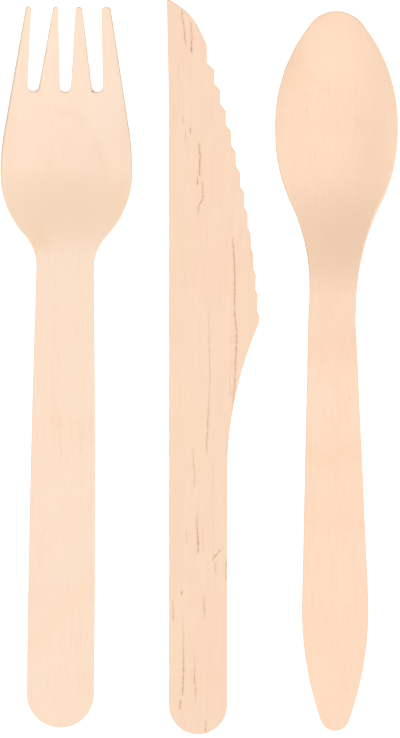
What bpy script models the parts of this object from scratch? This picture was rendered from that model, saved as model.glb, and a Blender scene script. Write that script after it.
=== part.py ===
"""A set of disposable wooden cutlery: a fork, a knife and a spoon, each one piece of birch veneer.

Every utensil is drawn as a flat blank, cut out 1.5 mm thick, and the fork and the spoon are then pressed:
the handle rises to the neck and the head is dished. They lie side by side on their undersides, as on a
table. Lengths run along +Y from the butt of the handle, widths along X, and +Z is up. The origin is at the
middle of the row, on the table.
"""

from math import acos, ceil, exp, hypot, pi, radians, sin, tan

import bmesh
import bpy
from mathutils import Matrix, Vector
from mathutils.geometry import delaunay_2d_cdt, intersect_point_line

MM = 0.001  # the sizes below are in millimetres

# Veneer
THICKNESS = 1.5
EDGE_ROUND = 0.25
EDGE_ANGLE = 60.0  # sharper edges than this are broken

# Fork, its outline: spans along it from the tips back, and the taper of its handle from the butt
FORK_LENGTH = 160.3
FORK_TIPS_TO_SIDE = 32.0
FORK_SIDE_LENGTH = 13.1
FORK_SIDE_RADIUS = 60.0
FORK_HEAD_WIDTH = 29.44
FORK_SHOULDER_LENGTH = 9.0
FORK_SHOULDER_RADIUS = 20.7
FORK_NECK_WIDTH = 12.72
FORK_NECK_RADIUS = 10.0
FORK_HANDLE_WIDTH = 15.0
FORK_TAPER_AT = 45.0
FORK_TAPER_RADIUS = 4000.0

# Fork, its tines and the slots between them, from left to right
TINE_TIP_WIDTHS = (1.16, 1.17, 1.43, 1.98)
TINE_TIP_RADIUS = 0.8
TINE_ROOT_WIDTH = 4.85
SLOT_LENGTH = 18.95
SLOT_TIP_WIDTHS = (4.92, 3.85, 4.4)
SLOT_ROOT_WIDTH = 2.45
SLOT_ROOT_RADIUS = 1.1
SLOT_ROOT_OFFSET = -0.47

# Fork, its pressed form
FORK_NECK_RISE = 2.0
FORK_CREST_TO_NECK = 1.5
FORK_TIPS_TO_DISH = 35.0
FORK_TIPS_RISE = 1.7
FORK_DISH_DEPTH = 1.5
FORK_DISH_RUN = 28.0

# Knife, its outline: the nose from the tip back, the rest from the butt
KNIFE_LENGTH = 163.3
KNIFE_HANDLE_WIDTH = 13.00
KNIFE_BELLY_WIDTH = 20.15
KNIFE_BELLY_AT = 91.5
KNIFE_BELLY_RADIUS = 3.0
KNIFE_FLARE_SLOPE = 23.1
KNIFE_FLARE_RADIUS = 84.0
KNIFE_SPINE_BEND_LENGTH = 23.6
KNIFE_SPINE_BEND = 0.5
KNIFE_SPINE_BEND_RADIUS = 600.0
KNIFE_NOSE_WIDTH = 8.52
KNIFE_NOSE_DEPTH = 10.0
KNIFE_NOSE_RADIUS = 2.5
KNIFE_BROW_WIDTH = 5.2
KNIFE_BROW_DEPTH = 3.3
KNIFE_BROW_RADIUS = 12.0
KNIFE_POINT_WIDTH = 0.3
KNIFE_POINT_RADIUS = 0.3

# Knife, its saw teeth, counted from the belly to the nose
TOOTH_COUNT = 13
TOOTH_DEPTH = 0.4
TOOTH_FACE_SHARE = 0.68  # of the pitch
TOOTH_CREST_RADIUS = 0.6
TOOTH_ROOT_RADIUS = 0.5
TEETH_AFTER_BELLY = 1.5
TEETH_BEFORE_NOSE = 5.58
TEETH_LAST_STEP = 1.63
TEETH_BULGE = 1.63

# Spoon, its outline: spans along it from the tip back, and the swell of its handle from the butt
SPOON_LENGTH = 159.8
SPOON_TIP_WIDTH = 7.1
SPOON_TIP_RADIUS = 7.35
SPOON_FRONT_LENGTH = 12.75
SPOON_FRONT_RADIUS = 36.5
SPOON_BOWL_WIDTH = 27.38
SPOON_BOWL_LENGTH = 22.55
SPOON_REAR_RADIUS = 38.0
SPOON_SHOULDER_LENGTH = 17.5
SPOON_NECK_WIDTH = 10.56
SPOON_NECK_LENGTH = 15.2
SPOON_NECK_RADIUS = 49.0
SPOON_NECK_SWAY = -1.0
SPOON_SWAY_AT = 86.0
SPOON_SWAY_LENGTH = 19.0
SPOON_HANDLE_WIDTH = 14.84
SPOON_SWELL_AT = 14.2
SPOON_SWELL_LENGTH = 14.0
SPOON_SWELL_RADIUS = 74.0
SPOON_BUTT_WIDTH = 4.72
SPOON_BUTT_RADIUS = 3.34

# Spoon, its pressed form
SPOON_NECK_RISE = 5.1
SPOON_CREST_TO_BOWL = 35.0
SPOON_CREST_TO_FOOT = 26.0
SPOON_TIP_TO_BOWL = 29.0
SPOON_TIP_RISE = 1.0
SPOON_BOWL_DEPTH = 2.6
SPOON_BOWL_FLATNESS = 2.3  # a higher power gives a flatter floor
SPOON_BOWL_LIP = 1.9  # a higher power gives a softer rim

# How straight both handles rise: a higher power bends them only near their necks
HANDLE_STRAIGHTNESS = 6

# How the three lie
FORK_KNIFE_GAP = 7.53
KNIFE_SPOON_GAP = 3.38
FORK_LEAN = 0.66
SPOON_LEAN = 0.14
FORK_BUTT_AHEAD = 1.53
SPOON_BUTT_AHEAD = 0.9

# Colours of the veneer, linear
FORK_COLOUR = (0.95, 0.74, 0.58)
KNIFE_COLOUR = (0.94, 0.70, 0.54)
SPOON_COLOUR = (0.95, 0.71, 0.54)
ROUGHNESS = 0.6

# Fineness of the faces
ARC_ERROR = 0.03
FORM_STEP_ALONG = 3.2
FORM_STEP_ACROSS = 2.4


def rounded(corners):
    """The closed outline through the corners (x, y, radius), each rounded by an arc of its radius."""
    count = len(corners)
    places = [Vector(corner[:2]) for corner in corners]
    before = [(places[i - 1] - places[i]).normalized() for i in range(count)]
    after = [(places[(i + 1) % count] - places[i]).normalized() for i in range(count)]
    half_angles = [before[i].angle(after[i]) / 2 for i in range(count)]
    runs = [corners[i][2] / tan(half_angles[i]) for i in range(count)]
    points = []
    for i in range(count):
        nearest = min(
            (places[i] - places[j]).length * runs[i] / max(runs[i] + runs[j], 1e-9)
            for j in (i - 1, (i + 1) % count)
        )
        run = min(runs[i], nearest)
        if run < 0.001:
            points.append(places[i])
            continue
        radius = run * tan(half_angles[i])
        centre = places[i] + (before[i] + after[i]).normalized() * radius / sin(half_angles[i])
        start = places[i] + before[i] * run - centre
        end = places[i] + after[i] * run - centre
        turn = pi - 2 * half_angles[i]
        if start.cross(end) < 0:
            turn = -turn
        steps = max(1, ceil(abs(turn) / (2 * acos(1 - min(ARC_ERROR / radius, 0.5)))))
        for step in range(steps + 1):
            angle = turn * step / steps
            points.append(centre + Matrix.Rotation(angle, 2) @ start)
    return without_repeats(points)


def without_repeats(points):
    """The outline with points that all but touch the one before them left out."""
    return [p for i, p in enumerate(points) if (p - points[i - 1]).length > 0.02]


def mirrored(corners):
    """The same corners on the left, in the opposite order."""
    return [(-x, y, radius) for x, y, radius in reversed(corners)]


def ease(t):
    """0 at t = 0 and 1 at t = 1, level at both ends."""
    t = min(max(t, 0.0), 1.0)
    return t * t * (3 - 2 * t)


def rise_of_handle(t):
    """0 at the butt, t = 0, and 1 at the crest, t = 1: nearly straight, and level at the crest."""
    return (HANDLE_STRAIGHTNESS * t - t**HANDLE_STRAIGHTNESS) / (HANDLE_STRAIGHTNESS - 1)


def fork_comb():
    """The corners of the tine tips and slots, from the left-hand tine to the right-hand one."""
    root_line = FORK_LENGTH - SLOT_LENGTH
    root_pitch = SLOT_ROOT_WIDTH + TINE_ROOT_WIDTH
    across = -(sum(TINE_TIP_WIDTHS) + sum(SLOT_TIP_WIDTHS)) / 2
    corners = []
    for tine, tip_width in enumerate(TINE_TIP_WIDTHS):
        corners.append((across, FORK_LENGTH, TINE_TIP_RADIUS))
        across += tip_width
        corners.append((across, FORK_LENGTH, TINE_TIP_RADIUS))
        if tine < len(SLOT_TIP_WIDTHS):
            root = SLOT_ROOT_OFFSET + (tine - 1) * root_pitch
            corners.append((root - SLOT_ROOT_WIDTH / 2, root_line, SLOT_ROOT_RADIUS))
            corners.append((root + SLOT_ROOT_WIDTH / 2, root_line, SLOT_ROOT_RADIUS))
            across += SLOT_TIP_WIDTHS[tine]
    return corners


def fork_places():
    """Where the side, the shoulder and the neck of the fork are, from the butt."""
    side = FORK_LENGTH - FORK_TIPS_TO_SIDE
    shoulder = side - FORK_SIDE_LENGTH
    neck = shoulder - FORK_SHOULDER_LENGTH
    return side, shoulder, neck


def fork_outline():
    side, shoulder, neck = fork_places()
    right = [
        (FORK_HANDLE_WIDTH / 2, 0, FORK_HANDLE_WIDTH / 2),
        (FORK_HANDLE_WIDTH / 2, FORK_TAPER_AT, FORK_TAPER_RADIUS),
        (FORK_NECK_WIDTH / 2, neck, FORK_NECK_RADIUS),
        (FORK_HEAD_WIDTH / 2, shoulder, FORK_SHOULDER_RADIUS),
        (FORK_HEAD_WIDTH / 2, side, FORK_SIDE_RADIUS),
    ]
    return rounded(right + fork_comb()[::-1] + mirrored(right))


def knife_teeth():
    """The corners of the saw teeth, from the belly up: a crest, a short shoulder in, then a long face up."""
    first = KNIFE_BELLY_AT + TEETH_AFTER_BELLY
    last = KNIFE_LENGTH - KNIFE_NOSE_DEPTH - TEETH_BEFORE_NOSE
    pitch = (last - first) / (TOOTH_COUNT - 1)
    face = TOOTH_FACE_SHARE * pitch

    def crest_line(y):
        share = (y - first) / (last - first)
        straight = KNIFE_BELLY_WIDTH + (KNIFE_NOSE_WIDTH + TEETH_LAST_STEP - KNIFE_BELLY_WIDTH) * share
        return straight + 4 * TEETH_BULGE * share * (1 - share)

    corners = []
    for tooth in range(TOOTH_COUNT):
        crest = first + tooth * pitch
        root = crest + pitch - face
        if tooth < TOOTH_COUNT - 1:
            root_width = min(crest_line(crest + pitch), crest_line(root) - TOOTH_DEPTH)
        else:
            root_width = KNIFE_NOSE_WIDTH
        corners.append((crest_line(crest), crest, TOOTH_CREST_RADIUS))
        corners.append((root_width, root, TOOTH_ROOT_RADIUS))
    return corners


def knife_outline():
    """The spine is at x = 0 and the teeth are on the right."""
    butt_radius = KNIFE_HANDLE_WIDTH / 2
    flare_length = (KNIFE_BELLY_WIDTH - KNIFE_HANDLE_WIDTH) / tan(radians(KNIFE_FLARE_SLOPE))
    handle_side = [
        (0, 0, butt_radius),
        (KNIFE_HANDLE_WIDTH, 0, butt_radius),
        (KNIFE_HANDLE_WIDTH, KNIFE_BELLY_AT - flare_length, KNIFE_FLARE_RADIUS),
        (KNIFE_BELLY_WIDTH, KNIFE_BELLY_AT, KNIFE_BELLY_RADIUS),
    ]
    nose = [
        (KNIFE_NOSE_WIDTH, KNIFE_LENGTH - KNIFE_NOSE_DEPTH, KNIFE_NOSE_RADIUS),
        (KNIFE_BROW_WIDTH, KNIFE_LENGTH - KNIFE_BROW_DEPTH, KNIFE_BROW_RADIUS),
        (KNIFE_POINT_WIDTH, KNIFE_LENGTH, KNIFE_POINT_RADIUS),
        (-KNIFE_SPINE_BEND, KNIFE_LENGTH, KNIFE_POINT_RADIUS),
        (0, KNIFE_LENGTH - KNIFE_SPINE_BEND_LENGTH, KNIFE_SPINE_BEND_RADIUS),
    ]
    return rounded(handle_side + knife_teeth() + nose)


def spoon_sway(y):
    """How far the neck stands to one side of the line through butt and bowl."""
    return SPOON_NECK_SWAY * exp(-(((y - SPOON_SWAY_AT) / SPOON_SWAY_LENGTH) ** 2))


def spoon_outline():
    front = SPOON_LENGTH - SPOON_FRONT_LENGTH
    rear = front - SPOON_BOWL_LENGTH
    neck_end = rear - SPOON_SHOULDER_LENGTH
    neck_start = neck_end - SPOON_NECK_LENGTH
    swell_end = SPOON_SWELL_AT + SPOON_SWELL_LENGTH
    right = [
        (SPOON_BUTT_WIDTH / 2, 0, SPOON_BUTT_RADIUS),
        (SPOON_HANDLE_WIDTH / 2, SPOON_SWELL_AT, SPOON_SWELL_RADIUS),
        (SPOON_HANDLE_WIDTH / 2, swell_end, SPOON_SWELL_RADIUS),
        (SPOON_NECK_WIDTH / 2, neck_start, SPOON_NECK_RADIUS),
        (SPOON_NECK_WIDTH / 2, neck_end, SPOON_NECK_RADIUS),
        (SPOON_BOWL_WIDTH / 2, rear, SPOON_REAR_RADIUS),
        (SPOON_BOWL_WIDTH / 2, front, SPOON_FRONT_RADIUS),
        (SPOON_TIP_WIDTH / 2, SPOON_LENGTH, SPOON_TIP_RADIUS),
    ]
    return [Vector((p.x + spoon_sway(p.y), p.y)) for p in rounded(right + mirrored(right))]


def fork_form(x, y):
    """Height of the fork's underside: up the handle to its crest, down into the dish, up to the tips."""
    crest = fork_places()[2] - FORK_CREST_TO_NECK
    dish = FORK_LENGTH - FORK_TIPS_TO_DISH
    if y < crest:
        lift = FORK_NECK_RISE * rise_of_handle(y / crest)
    elif y < dish:
        lift = FORK_NECK_RISE * (1 - ease((y - crest) / (dish - crest)))
    else:
        lift = FORK_TIPS_RISE * ((y - dish) / FORK_TIPS_TO_DISH) ** 2
    dished = ease((y - crest) / FORK_DISH_RUN)
    return lift + dished * FORK_DISH_DEPTH * (2 * x / FORK_HEAD_WIDTH) ** 2


def spoon_form(x, y):
    """Height of the spoon's underside: from butt to crest to foot to tip, with the bowl pressed out of it."""
    middle = SPOON_LENGTH - SPOON_TIP_TO_BOWL
    crest = middle - SPOON_CREST_TO_BOWL
    to_middle = (y - crest) / SPOON_CREST_TO_BOWL
    past_middle = (y - middle) / SPOON_TIP_TO_BOWL
    if y < crest:
        lift = SPOON_NECK_RISE * rise_of_handle(y / crest)
    elif y < middle:
        to_foot = (y - crest) / SPOON_CREST_TO_FOOT
        lift = SPOON_NECK_RISE + (SPOON_BOWL_DEPTH - SPOON_NECK_RISE) * ease(to_foot)
    else:
        lift = SPOON_BOWL_DEPTH + (SPOON_TIP_RISE - SPOON_BOWL_DEPTH) * ease(past_middle)
    along = past_middle if y > middle else 1 - to_middle
    spread = hypot(2 * (x - spoon_sway(y)) / SPOON_BOWL_WIDTH, along)
    return lift - SPOON_BOWL_DEPTH * (1 - min(spread, 1.0) ** SPOON_BOWL_FLATNESS) ** SPOON_BOWL_LIP


def divided(outline):
    """The outline with its long straight sides divided, so that the rim can take a curved form."""
    points = []
    for start, end in zip(outline, outline[1:] + outline[:1]):
        parts = ceil((end - start).length / FORM_STEP_ALONG)
        points += [start.lerp(end, part / parts) for part in range(parts)]
    return points


def inner_points(outline):
    """Points in rows across the blank, clear of its edge, so that it can take a curved form."""
    sides = list(zip(outline, outline[1:] + outline[:1]))
    points = []
    rows = ceil(max(p.y for p in outline) / FORM_STEP_ALONG)
    columns = ceil(max(abs(p.x) for p in outline) / FORM_STEP_ACROSS)
    for row in range(rows):
        for column in range(-columns, columns + 1):
            point = Vector((column * FORM_STEP_ACROSS, row * FORM_STEP_ALONG))
            if all(distance_to(point, *side) > FORM_STEP_ACROSS / 2 for side in sides):
                points.append(point)
    return points


def distance_to(point, start, end):
    """How far a point lies from the straight stretch between start and end."""
    nearest, share = intersect_point_line(point, start, end)
    if share < 0:
        nearest = start
    elif share > 1:
        nearest = end
    return (point - Vector(nearest[:2])).length


def sheet_of(outline, form):
    """The underside of a blank as a mesh of triangles, flat or lifted to the height of its form."""
    rim = divided(outline) if form else outline
    points = rim + inner_points(rim) if form else rim
    loop = [list(range(len(rim)))]
    places, _, faces, *_ = delaunay_2d_cdt(points, [], loop, 1, 1e-5)
    sheet = bmesh.new()
    used = sorted({corner for face in faces for corner in face})
    verts = {}
    for corner in used:
        x, y = places[corner]
        height = form(x, y) if form else 0
        verts[corner] = sheet.verts.new((x * MM, y * MM, height * MM))
    for face in faces:
        sheet.faces.new([verts[corner] for corner in face])
    sheet.normal_update()
    lowest = min(vert.co.z for vert in sheet.verts)
    bmesh.ops.translate(sheet, vec=(0, 0, -lowest), verts=sheet.verts[:])
    return sheet


def veneer(name, colour):
    """Plain birch of one colour."""
    material = bpy.data.materials.new(name)
    material.use_nodes = True
    surface = material.node_tree.nodes["Principled BSDF"]
    surface.inputs["Base Color"].default_value = (*colour, 1)
    surface.inputs["Roughness"].default_value = ROUGHNESS
    surface.inputs["Metallic"].default_value = 0
    return material


def utensil(name, outline, form, colour):
    """One utensil: its blank, pressed if it has a form, given the veneer's thickness and broken edges."""
    sheet = sheet_of(outline, form)
    mesh = bpy.data.meshes.new(name)
    sheet.to_mesh(mesh)
    sheet.free()
    mesh.materials.append(veneer(name + "_birch", colour))
    piece = bpy.data.objects.new(name, mesh)
    bpy.context.collection.objects.link(piece)
    solid = piece.modifiers.new("thickness", "SOLIDIFY")
    solid.thickness = THICKNESS * MM
    solid.offset = 1
    solid.use_even_offset = True
    edges = piece.modifiers.new("edges", "BEVEL")
    edges.width = EDGE_ROUND * MM
    edges.segments = 1
    edges.limit_method = "ANGLE"
    edges.angle_limit = radians(EDGE_ANGLE)
    edges.use_clamp_overlap = True
    return piece


def reach_of(piece):
    """The least and greatest x and y of a piece as it lies."""
    places = [piece.matrix_world @ vert.co for vert in piece.data.vertices]
    xs = [place.x for place in places]
    ys = [place.y for place in places]
    return min(xs), max(xs), min(ys), max(ys)


def lay_in_row(row):
    """Lays the pieces, each with the gap before it, its butt's place and its lean, centred on the origin."""
    edge = 0.0
    for piece, gap, ahead, lean in row:
        piece.rotation_euler.z = -radians(lean)
        piece.location.y = ahead * MM
        bpy.context.view_layer.update()
        piece.location.x = edge + gap * MM - reach_of(piece)[0]
        bpy.context.view_layer.update()
        edge = reach_of(piece)[1]
    reach = [reach_of(piece) for piece, *_ in row]
    middle_x = (min(r[0] for r in reach) + max(r[1] for r in reach)) / 2
    middle_y = (min(r[2] for r in reach) + max(r[3] for r in reach)) / 2
    for piece, *_ in row:
        piece.location.x -= middle_x
        piece.location.y -= middle_y
    bpy.context.view_layer.update()


def main():
    for item in list(bpy.data.objects):
        bpy.data.objects.remove(item, do_unlink=True)
    fork = utensil("fork", fork_outline(), fork_form, FORK_COLOUR)
    knife = utensil("knife", knife_outline(), None, KNIFE_COLOUR)
    spoon = utensil("spoon", spoon_outline(), spoon_form, SPOON_COLOUR)
    lay_in_row(
        [
            (fork, 0, FORK_BUTT_AHEAD, FORK_LEAN),
            (knife, FORK_KNIFE_GAP, 0, 0),
            (spoon, KNIFE_SPOON_GAP, SPOON_BUTT_AHEAD, SPOON_LEAN),
        ]
    )


main()
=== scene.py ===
"""The looks of the wooden cutlery set: fork, knife and spoon of pale birch veneer on a white floor.

Each utensil is drawn again from the sizes of the source, much finer: with the rounded and slightly uneven
edges of a die-cut blank, and with the grain, streaks and figure of the wood in its material.
"""

from math import acos, ceil, cos, exp, hypot, pi, radians, sin, tan

import bpy
import numpy as np
from mathutils import Matrix, Vector
from mathutils.geometry import delaunay_2d_cdt


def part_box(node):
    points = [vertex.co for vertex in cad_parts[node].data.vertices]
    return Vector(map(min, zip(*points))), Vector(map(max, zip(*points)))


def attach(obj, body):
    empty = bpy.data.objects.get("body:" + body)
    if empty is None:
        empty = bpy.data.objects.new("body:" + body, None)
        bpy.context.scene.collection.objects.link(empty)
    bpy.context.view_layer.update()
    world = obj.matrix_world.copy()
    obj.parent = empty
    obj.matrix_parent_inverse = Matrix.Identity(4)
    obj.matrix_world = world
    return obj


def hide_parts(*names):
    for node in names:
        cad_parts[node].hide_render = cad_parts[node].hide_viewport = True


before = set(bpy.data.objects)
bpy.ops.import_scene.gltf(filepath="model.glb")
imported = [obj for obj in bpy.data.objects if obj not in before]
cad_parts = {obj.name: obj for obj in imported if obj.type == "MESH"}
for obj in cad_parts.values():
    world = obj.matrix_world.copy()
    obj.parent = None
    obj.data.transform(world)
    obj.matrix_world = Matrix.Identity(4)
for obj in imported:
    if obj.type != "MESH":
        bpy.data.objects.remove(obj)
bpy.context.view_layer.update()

MM = 0.001  # the sizes below are in millimetres

# Veneer
THICKNESS = 1.499  # a hair under the 1.5 of the source, to stay inside its box
HANDLE_STRAIGHTNESS = 6

# Cut edges
EDGE_ROUND = 0.16
FACE_INSET = EDGE_ROUND + 0.05  # from the cut edge to the rim of the flat faces
CUT_INSET = 0.04
CUT_UNEVEN = 0.045
CUT_WAVES = ((7.0, 1.0), (2.6, 0.8), (1.1, 0.6))  # length and height of the waves along the edge
WAVES_OF_EACH = 3
WALL_UNEVEN = 0.03
WALL_FROM = 0.3  # shares of the thickness between which the wall is uneven
WALL_TO = 0.7
WALL_SEED = 50  # added to the seed, so that the wall has a run of its own
EDGE_SHADE_WIDTH = 0.9

# Fork
FORK_LENGTH = 160.3
FORK_TIPS_TO_SIDE = 32.0
FORK_SIDE_LENGTH = 13.1
FORK_SIDE_RADIUS = 60.0
FORK_HEAD_WIDTH = 29.44
FORK_SHOULDER_LENGTH = 9.0
FORK_SHOULDER_RADIUS = 20.7
FORK_NECK_WIDTH = 12.72
FORK_NECK_RADIUS = 10.0
FORK_HANDLE_WIDTH = 15.0
FORK_TAPER_AT = 45.0
FORK_TAPER_RADIUS = 4000.0
TINE_TIP_WIDTHS = (1.16, 1.17, 1.43, 1.98)
TINE_TIP_RADIUS = 0.8
TINE_ROOT_WIDTH = 4.85
SLOT_LENGTH = 18.95
SLOT_TIP_WIDTHS = (4.92, 3.85, 4.4)
SLOT_ROOT_WIDTH = 2.45
SLOT_ROOT_RADIUS = 1.1
SLOT_ROOT_OFFSET = -0.47
FORK_NECK_RISE = 2.0
FORK_CREST_TO_NECK = 1.5
FORK_TIPS_TO_DISH = 35.0
FORK_TIPS_RISE = 1.7
FORK_DISH_DEPTH = 1.5
FORK_DISH_RUN = 28.0
FORK_LEAN = 0.66

# Knife
KNIFE_LENGTH = 163.3
KNIFE_HANDLE_WIDTH = 13.0
KNIFE_BELLY_WIDTH = 20.15
KNIFE_BELLY_AT = 91.5
KNIFE_BELLY_RADIUS = 3.0
KNIFE_FLARE_SLOPE = 23.1
KNIFE_FLARE_RADIUS = 84.0
KNIFE_SPINE_BEND_LENGTH = 23.6
KNIFE_SPINE_BEND = 0.5
KNIFE_SPINE_BEND_RADIUS = 600.0
KNIFE_NOSE_WIDTH = 8.52
KNIFE_NOSE_DEPTH = 10.0
KNIFE_NOSE_RADIUS = 2.5
KNIFE_BROW_WIDTH = 5.2
KNIFE_BROW_DEPTH = 3.3
KNIFE_BROW_RADIUS = 12.0
KNIFE_POINT_WIDTH = 0.3
KNIFE_POINT_RADIUS = 0.3
TOOTH_COUNT = 13
TOOTH_DEPTH = 0.4
TOOTH_FACE_SHARE = 0.68
TOOTH_CREST_RADIUS = 0.6
TOOTH_ROOT_RADIUS = 0.5
TEETH_AFTER_BELLY = 1.5
TEETH_BEFORE_NOSE = 5.58
TEETH_LAST_STEP = 1.63
TEETH_BULGE = 1.63

# Spoon
SPOON_LENGTH = 159.8
SPOON_TIP_WIDTH = 7.1
SPOON_TIP_RADIUS = 7.35
SPOON_FRONT_LENGTH = 12.75
SPOON_FRONT_RADIUS = 36.5
SPOON_BOWL_WIDTH = 27.38
SPOON_BOWL_LENGTH = 22.55
SPOON_REAR_RADIUS = 38.0
SPOON_SHOULDER_LENGTH = 17.5
SPOON_NECK_WIDTH = 10.56
SPOON_NECK_LENGTH = 15.2
SPOON_NECK_RADIUS = 49.0
SPOON_NECK_SWAY = -1.0
SPOON_SWAY_AT = 86.0
SPOON_SWAY_LENGTH = 19.0
SPOON_HANDLE_WIDTH = 14.84
SPOON_SWELL_AT = 14.2
SPOON_SWELL_LENGTH = 14.0
SPOON_SWELL_RADIUS = 74.0
SPOON_BUTT_WIDTH = 4.72
SPOON_BUTT_RADIUS = 3.34
SPOON_NECK_RISE = 5.1
SPOON_CREST_TO_BOWL = 35.0
SPOON_CREST_TO_FOOT = 26.0
SPOON_TIP_TO_BOWL = 29.0
SPOON_TIP_RISE = 1.0
SPOON_BOWL_DEPTH = 2.6
SPOON_BOWL_FLATNESS = 2.3
SPOON_BOWL_LIP = 1.9
SPOON_LEAN = 0.14

# Fineness
ARC_ERROR = 0.004
SHORTEST_ARC_RUN = 0.001
SHORTEST_OUTLINE_STEP = 0.03
RIM_STEP = 0.55
EDGE_STEPS = 4
WALL_STEPS = 3
SLOPE_STEP = 0.02
GRID_ALONG = 1.3
GRID_ACROSS = 0.9
GRID_HALF_WIDTH = 25
GRID_LENGTH = 165
GRID_CLEARANCE = 0.5  # from the rim, as a share of the grid's step across
POINTS_AT_ONCE = 400

# Studio
FLOOR_HALF_SIDE = 4.0  # metres
FLOOR_BELOW = 0.05  # keeps the floor off the undersides
FLOOR_WHITE = 0.82
FLOOR_GLOW = 0.66
WORLD_LIGHT = 0.41
WORLD_SEEN = 1.0
LIGHT_TILT = 45  # degrees, as the turn and the spread are
LIGHT_TURN = 9
LIGHT_SPREAD = 85
LIGHT_STRENGTH = 2.63
CAMERA_PLACE = (0.0002, -0.00035, 2.5)  # metres
PICTURE_HEIGHT = 0.164  # metres of the floor
SENSOR_HEIGHT = 24.0
CLIP_END = 50

# Colours of the veneer, linear
FORK_COLOUR = (0.955, 0.730, 0.562)
KNIFE_COLOUR = (0.949, 0.695, 0.525)
SPOON_COLOUR = (0.950, 0.685, 0.506)
STREAK_COLOUR = (0.43, 0.20, 0.11)
FLANK_COLOUR = (0.78, 0.47, 0.29)
COOL_COLOUR = (0.93, 0.73, 0.60)

# How the figure stands out and shines
BUMP_STRENGTH = 0.55
BUMP_HEIGHT = 0.05
SPECULAR = 0.32

# Brown streaks in the knife: places (x, y) along each, and how dark it is there
KNIFE_STREAKS = (
    ((-3.8, 79.7, 0), (-3.8, 78.5, 0.5), (-3.3, 75.2, 0.6), (-3.1, 72.5, 0.5), (-2.7, 71.0, 0)),
    ((-1.9, 76.8, 0), (-1.8, 75.9, 0.5), (-1.6, 73.2, 0.5), (-1.7, 71.7, 0.9), (-1.7, 70.4, 1),
     (-1.7, 69.9, 0)),
    ((-3.6, 56.5, 0), (-3.6, 55.2, 0.35), (-3.6, 53.9, 0)),
    ((-1.9, 53.7, 0), (-1.9, 52.5, 0.6), (-1.8, 51.7, 0)),
    ((-3.0, 52.8, 0), (-3.0, 51.4, 0.3), (-3.0, 50.1, 0)),
    ((0.0, 50.1, 0), (0.0, 48.8, 0.7), (0.2, 47.0, 0.8), (0.1, 44.3, 0.8), (0.2, 42.1, 0)),
    ((-0.4, 42.3, 0), (-0.4, 41.3, 0.8), (-0.4, 40.3, 0)),
    ((0.6, 41.7, 0), (0.8, 39.4, 0.6), (0.7, 37.4, 0.7), (0.0, 35.9, 0.6), (-0.3, 33.4, 0)),
    ((7.4, 29.0, 0), (7.6, 26.5, 0.6), (7.9, 21.2, 0.7), (7.9, 12.5, 0.7), (8.3, 7.4, 0.7), (8.1, 1.7, 0.65),
     (7.8, -5.0, 0.55), (7.5, -8.3, 0)),
    ((2.4, 15.0, 0), (2.2, 7.0, 0.3), (2.4, -1.9, 0.3), (2.1, -8.3, 0.3), (1.9, -12.6, 0.5),
     (1.7, -16.8, 0.45), (1.7, -19.7, 0)),
    ((-1.3, -17.2, 0), (-1.3, -20.6, 0.4), (-1.0, -24.6, 0.35), (-1.1, -27.5, 0)),
    ((-0.5, -31.2, 0), (-0.5, -34.6, 0.5), (-0.3, -37.5, 0.85), (-0.2, -39.7, 0.85), (-0.3, -41.5, 0)),
    ((-2.8, -35.2, 0), (-2.8, -37.5, 0.3), (-2.8, -39.7, 0)),
    ((4.8, -40.3, 0), (4.1, -41.2, 0.7), (3.1, -42.5, 0.6), (2.9, -43.0, 0)),
    ((3.7, -42.8, 0), (3.7, -44.3, 0.4), (3.7, -46.3, 0)),
    ((6.0, -41.9, 0), (6.0, -45.0, 0.6), (6.0, -47.9, 0)),
    ((-3.9, -49.7, 0), (-3.9, -50.1, 0.9), (-3.9, -50.7, 0)),
    ((-5.9, -51.2, 0), (-5.8, -53.9, 0.5), (-5.7, -56.8, 0)),
    ((1.0, -50.3, 0), (1.1, -53.2, 0.5), (1.3, -56.1, 0)),
    ((-3.6, -53.0, 0), (-3.5, -61.0, 0.35), (-3.5, -67.7, 0.75), (-3.6, -71.2, 0.8), (-3.7, -73.0, 0)),
    ((-4.1, -73.5, 0), (-4.2, -74.8, 0.7), (-4.3, -76.3, 0)),
    ((-1.4, -61.7, 0), (-1.0, -66.5, 0.35), (-1.0, -69.5, 0.6), (-0.8, -71.6, 0.5), (-0.9, -74.8, 0)),
    ((1.5, -78.3, 0), (1.5, -79.9, 0.7), (1.5, -81.7, 0)),
)

STREAK_WIDTH = 0.15
STREAK_WOBBLE = 0.32

# How warm (above 0) or pale (below 0) the wood is painted along each utensil: (y, amount). On the knife
# this is the wood's own warmth; on the fork and spoon it is partly that and partly painted light and shade
# On the fork, the pale stops from 18 to 50 are painted light over the shaded slope into the head
FORK_TONE_AND_PAINTED_LIGHT = (
    (-80, 0.6), (-72, 0.2), (-56, 0.2), (-51, 0.6), (-46, 0.1), (-18, 0.0), (-12, 0.25), (-8, 0.0),
    (10, 0.0), (18, -0.3), (50, -0.1), (62, -0.5), (80, 0.2),
)
KNIFE_TONE = ((-80, 0.3), (-50, 0.2), (-20, -0.1), (40, 0.1), (80, -0.1))
# On the spoon, the warm stops at 50 and 80 are painted shade towards the tip
SPOON_TONE_AND_PAINTED_LIGHT = (
    (-80, 0.2), (-62, 0.3), (-56, 0.6), (-46, 0.15), (-38, 0.15), (-34, 0.55), (-24, 0.3), (-20, 0.65),
    (-16, 0.0), (-8, -0.5), (0, 0.0), (4, 0.55), (11, 0.0), (50, 0.1), (80, 0.4),
)

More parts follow.
